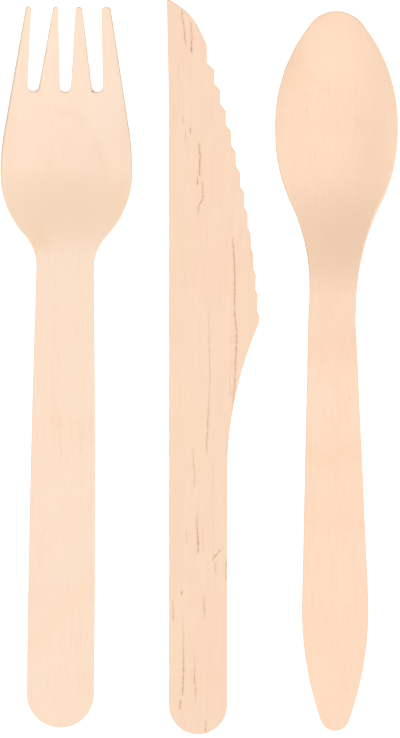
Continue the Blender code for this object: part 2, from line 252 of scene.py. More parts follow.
# Spots of another shade: place (x, y) of the middle and reach (across, along)
# The fork's shoulder spots and margins are partly the wood's own tint and partly painted shade on the slope
# into the head and the dish's rising sides; its yellow zone is painted shade colour on that slope
FORK_SHOULDER_SPOTS_AND_PAINTED_SHADE = (((-35.9, 29.0), (3.8, 6.5)), ((-17.4, 37.0), (3.4, 6.5)))
FORK_MARGINS_AND_PAINTED_SHADE = (((-42.8, 44.0), (3.4, 24.0)), ((-15.6, 50.0), (2.8, 17.0)))
FORK_YELLOW_PAINTED_SHADE_ZONE = ((-29.5, 36.0), (24.0, 11.0))
FORK_SPLINTER = ((-23.5, 61.25), (0.75, 0.30))
SPOON_WARM_SPOTS = (((20.6, 68.3), (4.0, 6.5), 0.5), ((38.5, 47.0), (6.0, 12.0), 0.25))  # and share
# The spoon's golden zone is painted light, which lightens the shade where the neck runs into the bowl
SPOON_GOLDEN_PAINTED_LIGHT_ZONE = ((30.0, 28.0), (16.0, 12.0))
SPOON_DOT = ((23.9, 57.0), (0.6, 0.6))

# The arch in the fork's head and the slanting band at its butt
ARCH_TOP = (-28.6, 56.6)
ARCH_LEFT_WIDTH = 4.45
ARCH_LEFT_POWER = 8.0
ARCH_LEFT_DROP = 4.9
ARCH_RIGHT_CURVE = 0.21
ARCH_LEG_AT = 1.02  # as a share of the width to the left
BAND_MIDDLE = -28.0
BAND_SLOPE = 1.15

# The slanting line across the spoon's bowl: places (x, y) along it
BOWL_LINE = ((17, 70.2), (23, 66.3), (29, 61.2), (34, 56), (38, 50.5), (44, 43))


def rounded(corners):
    """The closed outline through the corners (x, y, radius), each rounded by an arc of its radius."""
    count = len(corners)
    places = [Vector(corner[:2]) for corner in corners]
    before = [(places[i - 1] - places[i]).normalized() for i in range(count)]
    after = [(places[(i + 1) % count] - places[i]).normalized() for i in range(count)]
    half_angles = [before[i].angle(after[i]) / 2 for i in range(count)]
    runs = [corners[i][2] / tan(half_angles[i]) for i in range(count)]
    points = []
    for i in range(count):
        nearest = min(
            (places[i] - places[j]).length * runs[i] / max(runs[i] + runs[j], 1e-9)
            for j in (i - 1, (i + 1) % count)
        )
        run = min(runs[i], nearest)
        if run < SHORTEST_ARC_RUN:
            points.append(places[i])
            continue
        radius = run * tan(half_angles[i])
        centre = places[i] + (before[i] + after[i]).normalized() * radius / sin(half_angles[i])
        start = places[i] + before[i] * run - centre
        end = places[i] + after[i] * run - centre
        turn = pi - 2 * half_angles[i]
        if start.cross(end) < 0:
            turn = -turn
        steps = max(1, ceil(abs(turn) / (2 * acos(1 - min(ARC_ERROR / radius, 0.5)))))
        for step in range(steps + 1):
            angle = turn * step / steps
            points.append(centre + Matrix.Rotation(angle, 2) @ start)
    return [p for i, p in enumerate(points) if (p - points[i - 1]).length > SHORTEST_OUTLINE_STEP]


def mirrored(corners):
    """The corners of the left side, from those of the right side."""
    return [(-x, y, radius) for x, y, radius in reversed(corners)]


def ease(t):
    """A smooth step from 0 to 1 as t goes from 0 to 1."""
    t = min(max(t, 0.0), 1.0)
    return t * t * (3 - 2 * t)


def rise_of_handle(t):
    """0 at the butt, t = 0, and 1 at the crest, t = 1: nearly straight, and level at the crest."""
    return (HANDLE_STRAIGHTNESS * t - t**HANDLE_STRAIGHTNESS) / (HANDLE_STRAIGHTNESS - 1)


def fork_comb():
    """The corners of the tines and slots, from left to right."""
    root_line = FORK_LENGTH - SLOT_LENGTH
    root_pitch = SLOT_ROOT_WIDTH + TINE_ROOT_WIDTH
    across = -(sum(TINE_TIP_WIDTHS) + sum(SLOT_TIP_WIDTHS)) / 2
    corners = []
    for tine, tip_width in enumerate(TINE_TIP_WIDTHS):
        corners.append((across, FORK_LENGTH, TINE_TIP_RADIUS))
        across += tip_width
        corners.append((across, FORK_LENGTH, TINE_TIP_RADIUS))
        if tine < len(SLOT_TIP_WIDTHS):
            root = SLOT_ROOT_OFFSET + (tine - 1) * root_pitch
            corners.append((root - SLOT_ROOT_WIDTH / 2, root_line, SLOT_ROOT_RADIUS))
            corners.append((root + SLOT_ROOT_WIDTH / 2, root_line, SLOT_ROOT_RADIUS))
            across += SLOT_TIP_WIDTHS[tine]
    return corners


def fork_places():
    """How far the side, the shoulder and the neck are from the butt."""
    side = FORK_LENGTH - FORK_TIPS_TO_SIDE
    shoulder = side - FORK_SIDE_LENGTH
    neck = shoulder - FORK_SHOULDER_LENGTH
    return side, shoulder, neck


def fork_outline():
    side, shoulder, neck = fork_places()
    right = [
        (FORK_HANDLE_WIDTH / 2, 0, FORK_HANDLE_WIDTH / 2),
        (FORK_HANDLE_WIDTH / 2, FORK_TAPER_AT, FORK_TAPER_RADIUS),
        (FORK_NECK_WIDTH / 2, neck, FORK_NECK_RADIUS),
        (FORK_HEAD_WIDTH / 2, shoulder, FORK_SHOULDER_RADIUS),
        (FORK_HEAD_WIDTH / 2, side, FORK_SIDE_RADIUS),
    ]
    return rounded(right + fork_comb()[::-1] + mirrored(right))


def knife_teeth():
    """The corners of the saw teeth, from the belly to the nose."""
    first = KNIFE_BELLY_AT + TEETH_AFTER_BELLY
    last = KNIFE_LENGTH - KNIFE_NOSE_DEPTH - TEETH_BEFORE_NOSE
    pitch = (last - first) / (TOOTH_COUNT - 1)
    face = TOOTH_FACE_SHARE * pitch

    def crest_line(y):
        share = (y - first) / (last - first)
        straight = KNIFE_BELLY_WIDTH + (KNIFE_NOSE_WIDTH + TEETH_LAST_STEP - KNIFE_BELLY_WIDTH) * share
        return straight + 4 * TEETH_BULGE * share * (1 - share)

    corners = []
    for tooth in range(TOOTH_COUNT):
        crest = first + tooth * pitch
        root = crest + pitch - face
        if tooth < TOOTH_COUNT - 1:
            root_width = min(crest_line(crest + pitch), crest_line(root) - TOOTH_DEPTH)
        else:
            root_width = KNIFE_NOSE_WIDTH
        corners.append((crest_line(crest), crest, TOOTH_CREST_RADIUS))
        corners.append((root_width, root, TOOTH_ROOT_RADIUS))
    return corners


def knife_outline():
    butt_radius = KNIFE_HANDLE_WIDTH / 2
    flare_length = (KNIFE_BELLY_WIDTH - KNIFE_HANDLE_WIDTH) / tan(radians(KNIFE_FLARE_SLOPE))
    handle_side = [
        (0, 0, butt_radius),
        (KNIFE_HANDLE_WIDTH, 0, butt_radius),
        (KNIFE_HANDLE_WIDTH, KNIFE_BELLY_AT - flare_length, KNIFE_FLARE_RADIUS),
        (KNIFE_BELLY_WIDTH, KNIFE_BELLY_AT, KNIFE_BELLY_RADIUS),
    ]
    nose = [
        (KNIFE_NOSE_WIDTH, KNIFE_LENGTH - KNIFE_NOSE_DEPTH, KNIFE_NOSE_RADIUS),
        (KNIFE_BROW_WIDTH, KNIFE_LENGTH - KNIFE_BROW_DEPTH, KNIFE_BROW_RADIUS),
        (KNIFE_POINT_WIDTH, KNIFE_LENGTH, KNIFE_POINT_RADIUS),
        (-KNIFE_SPINE_BEND, KNIFE_LENGTH, KNIFE_POINT_RADIUS),
        (0, KNIFE_LENGTH - KNIFE_SPINE_BEND_LENGTH, KNIFE_SPINE_BEND_RADIUS),
    ]
    return rounded(handle_side + knife_teeth() + nose)


def spoon_sway(y):
    """How far the spoon's middle line is to the side at y, most of all at the neck."""
    return SPOON_NECK_SWAY * exp(-(((y - SPOON_SWAY_AT) / SPOON_SWAY_LENGTH) ** 2))


def spoon_outline():
    front = SPOON_LENGTH - SPOON_FRONT_LENGTH
    rear = front - SPOON_BOWL_LENGTH
    neck_end = rear - SPOON_SHOULDER_LENGTH
    neck_start = neck_end - SPOON_NECK_LENGTH
    swell_end = SPOON_SWELL_AT + SPOON_SWELL_LENGTH
    right = [
        (SPOON_BUTT_WIDTH / 2, 0, SPOON_BUTT_RADIUS),
        (SPOON_HANDLE_WIDTH / 2, SPOON_SWELL_AT, SPOON_SWELL_RADIUS),
        (SPOON_HANDLE_WIDTH / 2, swell_end, SPOON_SWELL_RADIUS),
        (SPOON_NECK_WIDTH / 2, neck_start, SPOON_NECK_RADIUS),
        (SPOON_NECK_WIDTH / 2, neck_end, SPOON_NECK_RADIUS),
        (SPOON_BOWL_WIDTH / 2, rear, SPOON_REAR_RADIUS),
        (SPOON_BOWL_WIDTH / 2, front, SPOON_FRONT_RADIUS),
        (SPOON_TIP_WIDTH / 2, SPOON_LENGTH, SPOON_TIP_RADIUS),
    ]
    return [Vector((p.x + spoon_sway(p.y), p.y)) for p in rounded(right + mirrored(right))]


def fork_form(x, y):
    """Height of the fork's underside: up the handle to its crest, down into the dish, up to the tips."""
    crest = fork_places()[2] - FORK_CREST_TO_NECK
    dish = FORK_LENGTH - FORK_TIPS_TO_DISH
    if y < crest:
        lift = FORK_NECK_RISE * rise_of_handle(y / crest)
    elif y < dish:
        lift = FORK_NECK_RISE * (1 - ease((y - crest) / (dish - crest)))
    else:
        lift = FORK_TIPS_RISE * ((y - dish) / FORK_TIPS_TO_DISH) ** 2
    dished = ease((y - crest) / FORK_DISH_RUN)
    return lift + dished * FORK_DISH_DEPTH * (2 * x / FORK_HEAD_WIDTH) ** 2


def flat_form(x, y):
    """Height of the knife's underside, which lies flat."""
    return 0.0


def spoon_form(x, y):
    """Height of the spoon's underside: a line from butt to crest to tip, with the bowl pressed out of it."""
    middle = SPOON_LENGTH - SPOON_TIP_TO_BOWL
    crest = middle - SPOON_CREST_TO_BOWL
    to_middle = (y - crest) / SPOON_CREST_TO_BOWL
    past_middle = (y - middle) / SPOON_TIP_TO_BOWL
    if y < crest:
        lift = SPOON_NECK_RISE * rise_of_handle(y / crest)
    elif y < middle:
        to_foot = (y - crest) / SPOON_CREST_TO_FOOT
        lift = SPOON_NECK_RISE + (SPOON_BOWL_DEPTH - SPOON_NECK_RISE) * ease(to_foot)
    else:
        lift = SPOON_BOWL_DEPTH + (SPOON_TIP_RISE - SPOON_BOWL_DEPTH) * ease(past_middle)
    along = past_middle if y > middle else 1 - to_middle
    spread = hypot(2 * (x - spoon_sway(y)) / SPOON_BOWL_WIDTH, along)
    return lift - SPOON_BOWL_DEPTH * (1 - min(spread, 1.0) ** SPOON_BOWL_FLATNESS) ** SPOON_BOWL_LIP


def divided(outline, step):
    """The outline with more points, none further apart than the step."""
    points = []
    for start, end in zip(outline, outline[1:] + outline[:1]):
        parts = max(1, ceil((end - start).length / step))
        points += [tuple(start.lerp(end, part / parts)) for part in range(parts)]
    return np.array(points)


def anticlockwise(rim):
    following = np.roll(rim, -1, 0)
    return (rim[:, 0] * following[:, 1] - following[:, 0] * rim[:, 1]).sum() > 0


def inward(rim):
    """The direction into the blank at each point of its rim, long enough to keep a parallel edge."""
    ahead = np.roll(rim, -1, 0) - rim
    ahead /= np.linalg.norm(ahead, axis=1)[:, None]
    behind = np.roll(ahead, 1, 0)
    left = np.c_[-(ahead + behind)[:, 1], (ahead + behind)[:, 0]]
    left /= np.linalg.norm(left, axis=1)[:, None]
    across = np.c_[-ahead[:, 1], ahead[:, 0]]
    least = 0.6  # keeps the stretch small at sharp corners
    stretch = 1 / np.clip((left * across).sum(1), least, 1)
    return left * stretch[:, None] * (1 if anticlockwise(rim) else -1)


def unevenness(rim, seed):
    """A smooth uneven run between 0 and 1 along the rim, as the die leaves on a cut edge."""
    lengths = np.linalg.norm(np.roll(rim, -1, 0) - rim, axis=1)
    along = np.r_[0, np.cumsum(lengths)[:-1]]
    whole = lengths.sum()
    spread = np.random.default_rng(seed)
    wave = np.zeros(len(rim))
    for size, weight in CUT_WAVES:
        turns = round(whole / size) + spread.integers(0, 9, WAVES_OF_EACH)
        for turn, phase in zip(turns, spread.uniform(0, 2 * pi, WAVES_OF_EACH)):
            wave += weight * np.sin(2 * pi * turn * along / whole + phase)
    wave -= wave.min()
    return wave / wave.max()


def distances(points, rim):
    """How far each point lies from the rim."""
    start = rim[None]
    step = (np.roll(rim, -1, 0) - rim)[None]
    found = []
    for some in np.array_split(points, max(1, len(points) // POINTS_AT_ONCE)):
        to = some[:, None] - start
        share = np.clip((to * step).sum(2) / (step * step).sum(2), 0, 1)
        found.append(np.linalg.norm(to - share[..., None] * step, axis=2).min(1))
    return np.concatenate(found)


def surface_at(places, form):
    """Heights and normals of the form at the places."""
    heights = np.array([form(x, y) for x, y in places])
    slope_x = np.array([form(x + SLOPE_STEP, y) for x, y in places]) - heights
    slope_y = np.array([form(x, y + SLOPE_STEP) for x, y in places]) - heights
    normals = np.c_[-slope_x / SLOPE_STEP, -slope_y / SLOPE_STEP, np.ones(len(places))]
    return heights, normals / np.linalg.norm(normals, axis=1)[:, None]


def edge_rings():
    """Rings round the cut edge, from the underside to the upper side: (inset, share of the thickness)."""
    share = EDGE_ROUND / THICKNESS
    lower = []
    for step in range(EDGE_STEPS + 1):
        angle = pi / 2 * step / EDGE_STEPS
        lower.append((EDGE_ROUND * (1 - sin(angle)), share * (1 - cos(angle))))
    wall = [(0.0, share + (1 - 2 * share) * step / WALL_STEPS) for step in range(1, WALL_STEPS)]
    upper = [(inset, 1 - depth) for inset, depth in reversed(lower)]
    return lower + wall + upper


def flat_sheet(rim, inner_rim):
    """A flat face: its points, its triangles, and the point at each place of the inner rim."""
    count = len(rim)
    across = ceil(GRID_HALF_WIDTH / GRID_ACROSS)
    columns = np.arange(-across, across + 1) * GRID_ACROSS
    rows = np.arange(0, ceil(GRID_LENGTH / GRID_ALONG)) * GRID_ALONG
    grid = np.array([(x + (row % 2) * GRID_ACROSS / 2, y) for row, y in enumerate(rows) for x in columns])
    near = (grid[:, 0] > rim[:, 0].min()) & (grid[:, 0] < rim[:, 0].max()) & (grid[:, 1] < rim[:, 1].max())
    grid = grid[near]
    grid = grid[distances(grid, inner_rim) > GRID_CLEARANCE * GRID_ACROSS]
    points = [Vector(p) for p in np.r_[inner_rim, grid]]
    flat, _, faces, origins, *_ = delaunay_2d_cdt(points, [], [list(range(count))], 1, 1e-6)
    used = sorted({corner for face in faces for corner in face})
    order = {corner: i for i, corner in enumerate(used)}
    sheet = np.array([tuple(flat[corner]) for corner in used])
    triangles = [tuple(order[corner] for corner in face) for face in faces]
    at_rim = {}
    for i, corner in enumerate(used):
        for source in origins[corner]:
            if source < count:
                at_rim[source] = i
    return sheet, triangles, at_rim


def wall_faces(rim, ring_count, half, at_rim):
    """The faces round the cut edge, which join the rings to each other and to both flat faces."""
    count = len(rim)

    def ring_vertex(ring, i):
        i %= count
        if ring < 0:
            return at_rim[i]
        if ring == ring_count:
            return at_rim[i] + half
        return 2 * half + ring * count + i

    quads = []
    for ring in range(-1, ring_count):
        for i in range(count):
            quads.append((
                ring_vertex(ring, i),
                ring_vertex(ring, i + 1),
                ring_vertex(ring + 1, i + 1),
                ring_vertex(ring + 1, i),
            ))
    return quads if anticlockwise(rim) else [quad[::-1] for quad in quads]


def in_frame(name, points, lean):
    """The points in metres, turned by the lean, with their middle over that of the node in the CAD."""
    turned = (np.array(Matrix.Rotation(-radians(lean), 3, "Z")) @ points.T).T * MM
    low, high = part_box(name)
    middle = (np.array(low) + np.array(high)) / 2
    own = (turned.min(0) + turned.max(0)) / 2
    turned[:, :2] += (middle - own)[:2]
    return turned


def utensil(name, outline, form, lean, seed):
    """A fine mesh of one utensil, with each point's nearness to the edge, cut and depth marked."""
    rim = divided(outline, RIM_STEP)
    into = inward(rim)
    uneven = unevenness(rim, seed)
    deeper = unevenness(rim, seed + WALL_SEED)
    rim = rim + into * (CUT_INSET + CUT_UNEVEN * uneven)[:, None]
    sheet, triangles, at_rim = flat_sheet(rim, rim + into * FACE_INSET)
    half = len(sheet)
    count = len(rim)

    # both flat faces, the underside first, and then the rings between them
    near_edge = np.clip(1 - distances(sheet, rim) / EDGE_SHADE_WIDTH, 0, 1)
    places = [sheet, sheet]
    depths = [np.zeros(half), np.ones(half)]
    edges = [near_edge, near_edge]
    cuts = [np.zeros(half), np.zeros(half)]
    rings = edge_rings()
    for inset, depth in rings:
        push = WALL_UNEVEN * deeper[:, None] if WALL_FROM < depth < WALL_TO else 0
        places.append(rim + into * (inset + push))
        depths.append(np.full(count, depth))
        edges.append(np.ones(count))
        cuts.append(np.full(count, 1 - inset / EDGE_ROUND))
    places = np.concatenate(places)
    depths = np.concatenate(depths)
    heights, normals = surface_at(places, form)
    points = np.c_[places, heights] + normals * (depths * THICKNESS)[:, None]
    points[:, 2] -= heights.min()

    faces = []
    for a, b, c in triangles:
        faces.append((c, b, a))
        faces.append((a + half, b + half, c + half))
    faces += wall_faces(rim, len(rings), half, at_rim)

    mesh = bpy.data.meshes.new(name + "_veneer")
    mesh.from_pydata(in_frame(name, points, lean).tolist(), [], faces)
    mesh.validate()
    mesh.shade_smooth()
    marks = {"edge": np.concatenate(edges), "cut": np.concatenate(cuts), "depth": depths}
    for title, values in marks.items():
        layer = mesh.attributes.new(title, "FLOAT", "POINT")
        layer.data.foreach_set("value", values.astype(np.float32))
    piece = bpy.data.objects.new(name + "_veneer", mesh)
    bpy.context.collection.objects.link(piece)
    return piece


def tinted(colour, factors):
    return tuple(part * factor for part, factor in zip(colour, factors))


class Grain:
    """Short ways to lay the nodes of one wood material."""

    def __init__(self, name):
        self.material = bpy.data.materials.new(name)
        self.material.use_nodes = True
        self.nodes = self.material.node_tree.nodes
        self.links = self.material.node_tree.links
        self.surface = self.nodes["Principled BSDF"]
        self.place = self.node("ShaderNodeTexCoord").outputs["Object"]
        parts = self.node("ShaderNodeSeparateXYZ")
        self.links.new(self.place, parts.inputs[0])
        self.x, self.y = parts.outputs[:2]

    def node(self, kind, **settings):
        made = self.nodes.new(kind)
        for key, value in settings.items():
            setattr(made, key, value)
        return made

    def put(self, socket, value):
        """Gives the socket a value, or links it to the socket that makes one."""
        if isinstance(value, bpy.types.NodeSocket):
            self.links.new(value, socket)
        else:
            socket.default_value = value

    def math(self, operation, *values, clamp=False):
        made = self.node("ShaderNodeMath", operation=operation, use_clamp=clamp)
        for socket, value in zip(made.inputs, values):
            self.put(socket, value)
        return made.outputs[0]

    def times(self, first, second):
        return self.math("MULTIPLY", first, second)

    def swing(self, noise, reach):
        """The noise about 0 instead of 0.5, times the reach."""
        return self.times(self.math("SUBTRACT", noise, 0.5), reach)

    def blend(self, share, first, second, kind="MIX"):
        """The first colour, with a share of the second."""
        made = self.node("ShaderNodeMix", data_type="RGBA", blend_type=kind)
        self.put(made.inputs[0], share)
        for socket, value in ((made.inputs[6], first), (made.inputs[7], second)):
            self.put(socket, (*value, 1) if isinstance(value, tuple) else value)
        return made.outputs[2]

    def range(self, value, low, high, to_low=0.0, to_high=1.0, smooth=True):
        """A step from to_low, where the value is at low, to to_high, where it is at high."""
        made = self.node("ShaderNodeMapRange", interpolation_type="SMOOTHSTEP" if smooth else "LINEAR")
        for socket, number in zip(made.inputs, (value, low, high, to_low, to_high)):
            self.put(socket, number)
        return made.outputs[0]

    def noise(self, size, detail=2.0, rough=0.5, bend=0.0, shift=(0, 0, 0)):
        """Noise whose lumps measure size (x, y, z) in millimetres."""
        spread = self.node("ShaderNodeMapping")
        self.links.new(self.place, spread.inputs[0])
        spread.inputs["Location"].default_value = shift
        spread.inputs["Scale"].default_value = tuple(1 / (MM * part) for part in size)
        made = self.node("ShaderNodeTexNoise")
        self.links.new(spread.outputs[0], made.inputs["Vector"])
        made.inputs["Scale"].default_value = 1.0
        made.inputs["Detail"].default_value = detail
        made.inputs["Roughness"].default_value = rough
        made.inputs["Distortion"].default_value = bend
        return made.outputs["Fac"]

    def marked(self, title):
        """What the mesh says of its points under this title."""
        made = self.node("ShaderNodeAttribute", attribute_type="GEOMETRY", attribute_name=title)
        return made.outputs["Fac"]

    def curve(self, value, points, low, high):
        """A free curve of value, through points (value, height) with heights between low and high."""
        first, last = points[0][0], points[-1][0]
        made = self.node("ShaderNodeFloatCurve")
        line = made.mapping.curves[0]
        spots = [((a - first) / (last - first), (b - low) / (high - low)) for a, b in points]
        line.points[0].location = spots[0]
        line.points[1].location = spots[-1]
        for spot in spots[1:-1]:
            line.points.new(*spot)
        for point in line.points:
            point.handle_type = "AUTO"
        made.mapping.update()
        self.put(made.inputs[1], self.range(value, first * MM, last * MM, smooth=False))
        return self.range(made.outputs[0], 0, 1, low, high, smooth=False)

    def streak(self, route, width, wobble, thick):
        """How strongly the streak along the route (x, y, darkness) shows, and the lighter brown beside it."""
        down = sorted(((y, x, dark) for x, y, dark in route))
        margin = 0.3
        lowest = min(x for _, x, _ in down) - margin
        highest = max(x for _, x, _ in down) + margin
        middle = self.curve(self.y, [(y, x) for y, x, _ in down], lowest, highest)
        dark = self.curve(self.y, [(y, d) for y, _, d in down], 0, 1)
        off = self.math("SUBTRACT", self.math("DIVIDE", self.x, MM), self.math("ADD", middle, wobble))
        off = self.math("DIVIDE", self.math("ABSOLUTE", off), self.times(thick, width))
        core = self.times(self.range(off, 1.0, 0.35), dark)
        return core, self.times(self.range(off, 4.2, 0.6), dark)

    def spot(self, x, y, place, reach):
        """1 at a place (x, y), fading to 0 at its reach (across, along)."""
        across = self.math("DIVIDE", self.math("SUBTRACT", x, place[0]), reach[0])
        along = self.math("DIVIDE", self.math("SUBTRACT", y, place[1]), reach[1])
        far = self.math("ADD", self.times(across, across), self.times(along, along))
        return self.range(far, 1.0, 0.0)


def birch(name, colour, tone_and_painted_light, seed):
    """The wood that all three share: lengthwise fibres, soft bands, warmth and paleness along each utensil
    (on the fork and spoon partly painted light and shade), flecks, cut edges and a rougher back.
    """
    grain = Grain(name)
    shift = (seed * 3.7, seed * 1.3, seed * 0.7)
    fine = grain.noise((0.30, 7.0, 0.30), 3.0, 0.6, shift=shift)
    hair = grain.noise((0.10, 2.6, 0.10), 2.0, 0.5, shift=shift)
    broad = grain.noise((2.4, 55.0, 2.4), 3.0, 0.55, 0.3, shift=shift)
    cloud = grain.noise((16.0, 22.0, 16.0), 2.0, 0.5, 0.6, shift=shift)
    wander = grain.noise((14.0, 9.0, 14.0), 2.0, 0.5, 0.2, shift=shift)
    flame = grain.noise((26.0, 5.5, 26.0), 3.0, 0.55, 0.8, shift=shift)
    warm = tinted(colour, (0.995, 0.945, 0.915))
    pale = tinted(colour, (1.01, 1.03, 1.055))
    dark = tinted(colour, (0.86, 0.76, 0.66))

    # warmth and paleness along the utensil, from its table: on the fork and spoon partly painted light and
    # shade
    bent = grain.math("ADD", grain.y, grain.swing(wander, 9 * MM))
    along = grain.curve(bent, tone_and_painted_light, -1, 1)
    along = grain.math("ADD", along, grain.swing(flame, 1.1))
    along = grain.math("ADD", along, grain.swing(cloud, 0.9))
    shade = grain.blend(grain.range(along, 0.0, 1.0), colour, warm)
    shade = grain.blend(grain.range(along, 0.0, -1.0), shade, pale)
    shade = grain.blend(grain.range(broad, 0.52, 0.80, 0, 0.55), shade, warm)
    shade = grain.blend(grain.range(broad, 0.46, 0.22, 0, 0.5), shade, pale)
    shade = grain.blend(grain.range(fine, 0.50, 0.86, 0, 0.42), shade, dark)
    shade = grain.blend(grain.range(hair, 0.52, 0.85, 0, 0.22), shade, dark)
    shade = grain.blend(grain.range(fine, 0.46, 0.2, 0, 0.45), shade, pale)

    # short brown flecks of the rays, in sparse patches
    fleck = grain.range(grain.noise((0.22, 1.3, 0.22), 1.0, 0.4, shift=(seed, 4, 2)), 0.68, 0.80)
    sparse = grain.range(grain.noise((5.0, 9.0, 5.0), 2.0, 0.5, shift=(seed, 8, 3)), 0.50, 0.66)
    flecks = grain.times(fleck, sparse)
    shade = grain.blend(grain.times(flecks, 0.30), shade, STREAK_COLOUR)

    # the back of peeled veneer is looser: fine checks run along it
    back = grain.range(grain.marked("depth"), 0.5, 0.0)
    check = grain.range(grain.noise((0.16, 5.5, 0.16), 2.0, 0.45, shift=(seed, 1, 9)), 0.66, 0.76)
    checks = grain.times(check, grain.times(back, 0.5))
    shade = grain.blend(grain.times(checks, 0.6), shade, dark)

    # edges: a touch browner where handled and cut, with the die's burnished and torn zones on the wall
    edge = grain.math("POWER", grain.marked("edge"), 2.2)
    cut = grain.marked("cut")
    depth = grain.marked("depth")
    shade = grain.blend(grain.times(edge, 0.2), shade, warm)
    wall = grain.times(grain.math("POWER", cut, 0.8), grain.range(depth, 0.98, 0.80, 0.0, 1.0))
    shade = grain.blend(grain.times(wall, 0.35), shade, dark)
    pores = grain.range(grain.noise((0.13, 1.6, 0.13), 2.0, 0.5, shift=(seed, 5, 5)), 0.52, 0.74)
    torn = grain.times(pores, grain.range(depth, 0.62, 0.30, 0.35, 1.0))
    torn = grain.times(torn, wall)
    shade = grain.blend(grain.times(torn, 0.5), shade, tinted(dark, (0.72, 0.72, 0.72)))

    height = grain.swing(fine, 0.55)
    height = grain.math("ADD", height, grain.swing(hair, 0.35))
    height = grain.math("SUBTRACT", height, grain.times(flecks, 0.35))
    height = grain.math("SUBTRACT", height, grain.times(checks, 1.2))
    height = grain.math("SUBTRACT", height, grain.times(torn, 0.8))
    swell = grain.swing(cloud, 3.0)
    height = grain.math("ADD", height, swell)
    gloss = grain.range(fine, 0.2, 0.8, 0.56, 0.70)
    gloss = grain.math("ADD", gloss, grain.times(torn, 0.15), clamp=True)
    return grain, shade, height, gloss


def finished(grain, shade, height, gloss):
    """The material, once its shade, the height of its figure and its gloss are known."""
    bump = grain.node("ShaderNodeBump")
    bump.inputs["Strength"].default_value = BUMP_STRENGTH
    bump.inputs["Distance"].default_value = BUMP_HEIGHT * MM
    grain.links.new(height, bump.inputs["Height"])
    grain.links.new(bump.outputs[0], grain.surface.inputs["Normal"])
    grain.links.new(shade, grain.surface.inputs["Base Color"])
    grain.links.new(gloss, grain.surface.inputs["Roughness"])
    grain.surface.inputs["Specular IOR Level"].default_value = SPECULAR
    return grain.material


def fork_birch():
    """Birch with a cathedral arch in the head and a slanting warm band across the handle."""
    grain, shade, height, gloss = birch("fork_birch_look", FORK_COLOUR, FORK_TONE_AND_PAINTED_LIGHT, seed=1)
    warm = tinted(FORK_COLOUR, (1.0, 0.965, 0.95))
    dark = tinted(FORK_COLOUR, (0.90, 0.80, 0.71))
    pale = tinted(FORK_COLOUR, (1.01, 1.03, 1.06))
    x = grain.math("DIVIDE", grain.x, MM)
    y = grain.math("DIVIDE", grain.y, MM)
    wave = grain.math("SUBTRACT", grain.noise((3.0, 9.0, 3.0), 2.0), 0.5)

    # the arch, open towards the handle: a parabola on its right and a nearly straight leg on its left
    off = grain.math("ADD", grain.math("SUBTRACT", x, ARCH_TOP[0]), grain.times(wave, 1.3))
    left = grain.math("DIVIDE", grain.math("MAXIMUM", grain.times(off, -1.0), 0.0), ARCH_LEFT_WIDTH)
    right = grain.math("MAXIMUM", off, 0.0)
    drop = grain.times(grain.math("POWER", left, ARCH_LEFT_POWER), ARCH_LEFT_DROP)
    drop = grain.math("ADD", drop, grain.times(grain.times(right, right), ARCH_RIGHT_CURVE))
    arch = grain.math("SUBTRACT", grain.math("SUBTRACT", ARCH_TOP[1], drop), y)
    beside = grain.math("ABSOLUTE", grain.math("SUBTRACT", left, ARCH_LEG_AT))
    head = grain.times(grain.range(y, 27.0, 38.0), grain.range(y, 62.0, 56.0))
    steep = grain.times(right, 2 * ARCH_RIGHT_CURVE)
    steep = grain.math("SQRT", grain.math("ADD", grain.times(steep, steep), 1.0))
    line = grain.range(grain.math("DIVIDE", grain.math("ABSOLUTE", arch), steep), 1.5, 0.1)
    line = grain.times(grain.times(line, head), grain.range(y, 38.0, 47.0))
    line = grain.times(line, grain.range(off, -3.5, 1.0, 0.5, 1.0))
    leg = grain.times(grain.range(beside, 0.20, 0.02), grain.range(y, 54.0, 44.0))
    leg = grain.times(leg, grain.range(y, 27.0, 36.0))
    inside = grain.times(grain.range(arch, -0.5, 4.0), head)
    shade = grain.blend(grain.times(inside, 0.3), shade, warm)
    shade = grain.blend(grain.times(grain.math("MAXIMUM", line, leg), 0.22), shade, dark)
    corner = grain.times(grain.range(x, -28.0, -23.0), grain.range(y, 48.0, 54.0))
    corner = grain.times(corner, grain.range(y, 68.0, 60.0))
    shade = grain.blend(grain.times(corner, 0.7), shade, pale)

    # browner spots at both shoulders and warmer margins, partly the wood's own tint and partly painted shade
    # on the slope into the head and the dish's rising sides; a yellower zone low in the head, painted shade
    # that gives the shaded slope into the head a warmer colour; and a splinter at the root of the right slot
    brown = tinted(FORK_COLOUR, (0.99, 0.92, 0.85))
    shifted = grain.math("ADD", y, grain.times(wave, 12.0))
    for place, reach in FORK_SHOULDER_SPOTS_AND_PAINTED_SHADE:
        shade = grain.blend(grain.spot(x, shifted, place, reach), shade, brown)
    for place, reach in FORK_MARGINS_AND_PAINTED_SHADE:
        shade = grain.blend(grain.times(grain.spot(x, shifted, place, reach), 0.8), shade, warm)
    yellow = tinted(FORK_COLOUR, (1.01, 0.985, 0.94))
    shade = grain.blend(grain.times(grain.spot(x, shifted, *FORK_YELLOW_PAINTED_SHADE_ZONE), 0.9), shade, yellow)
    splinter = grain.spot(x, y, *FORK_SPLINTER)
    shade = grain.blend(grain.times(splinter, 0.75), shade, STREAK_COLOUR)

    # the slanting band near the butt, with a cooler zone above it
    slant = grain.math("SUBTRACT", y, grain.times(grain.math("SUBTRACT", x, BAND_MIDDLE), BAND_SLOPE))
    slant = grain.math("ADD", slant, grain.times(wave, 2.2))
    band = grain.times(grain.range(slant, -57.0, -52.5), grain.range(slant, -46.5, -50.5))
    shade = grain.blend(grain.times(band, 0.8), shade, warm)
    cool = grain.times(grain.range(slant, -50.0, -46.0), grain.range(slant, -36.5, -43.5))
    shade = grain.blend(grain.times(cool, 0.35), shade, COOL_COLOUR)
    return finished(grain, shade, height, gloss)


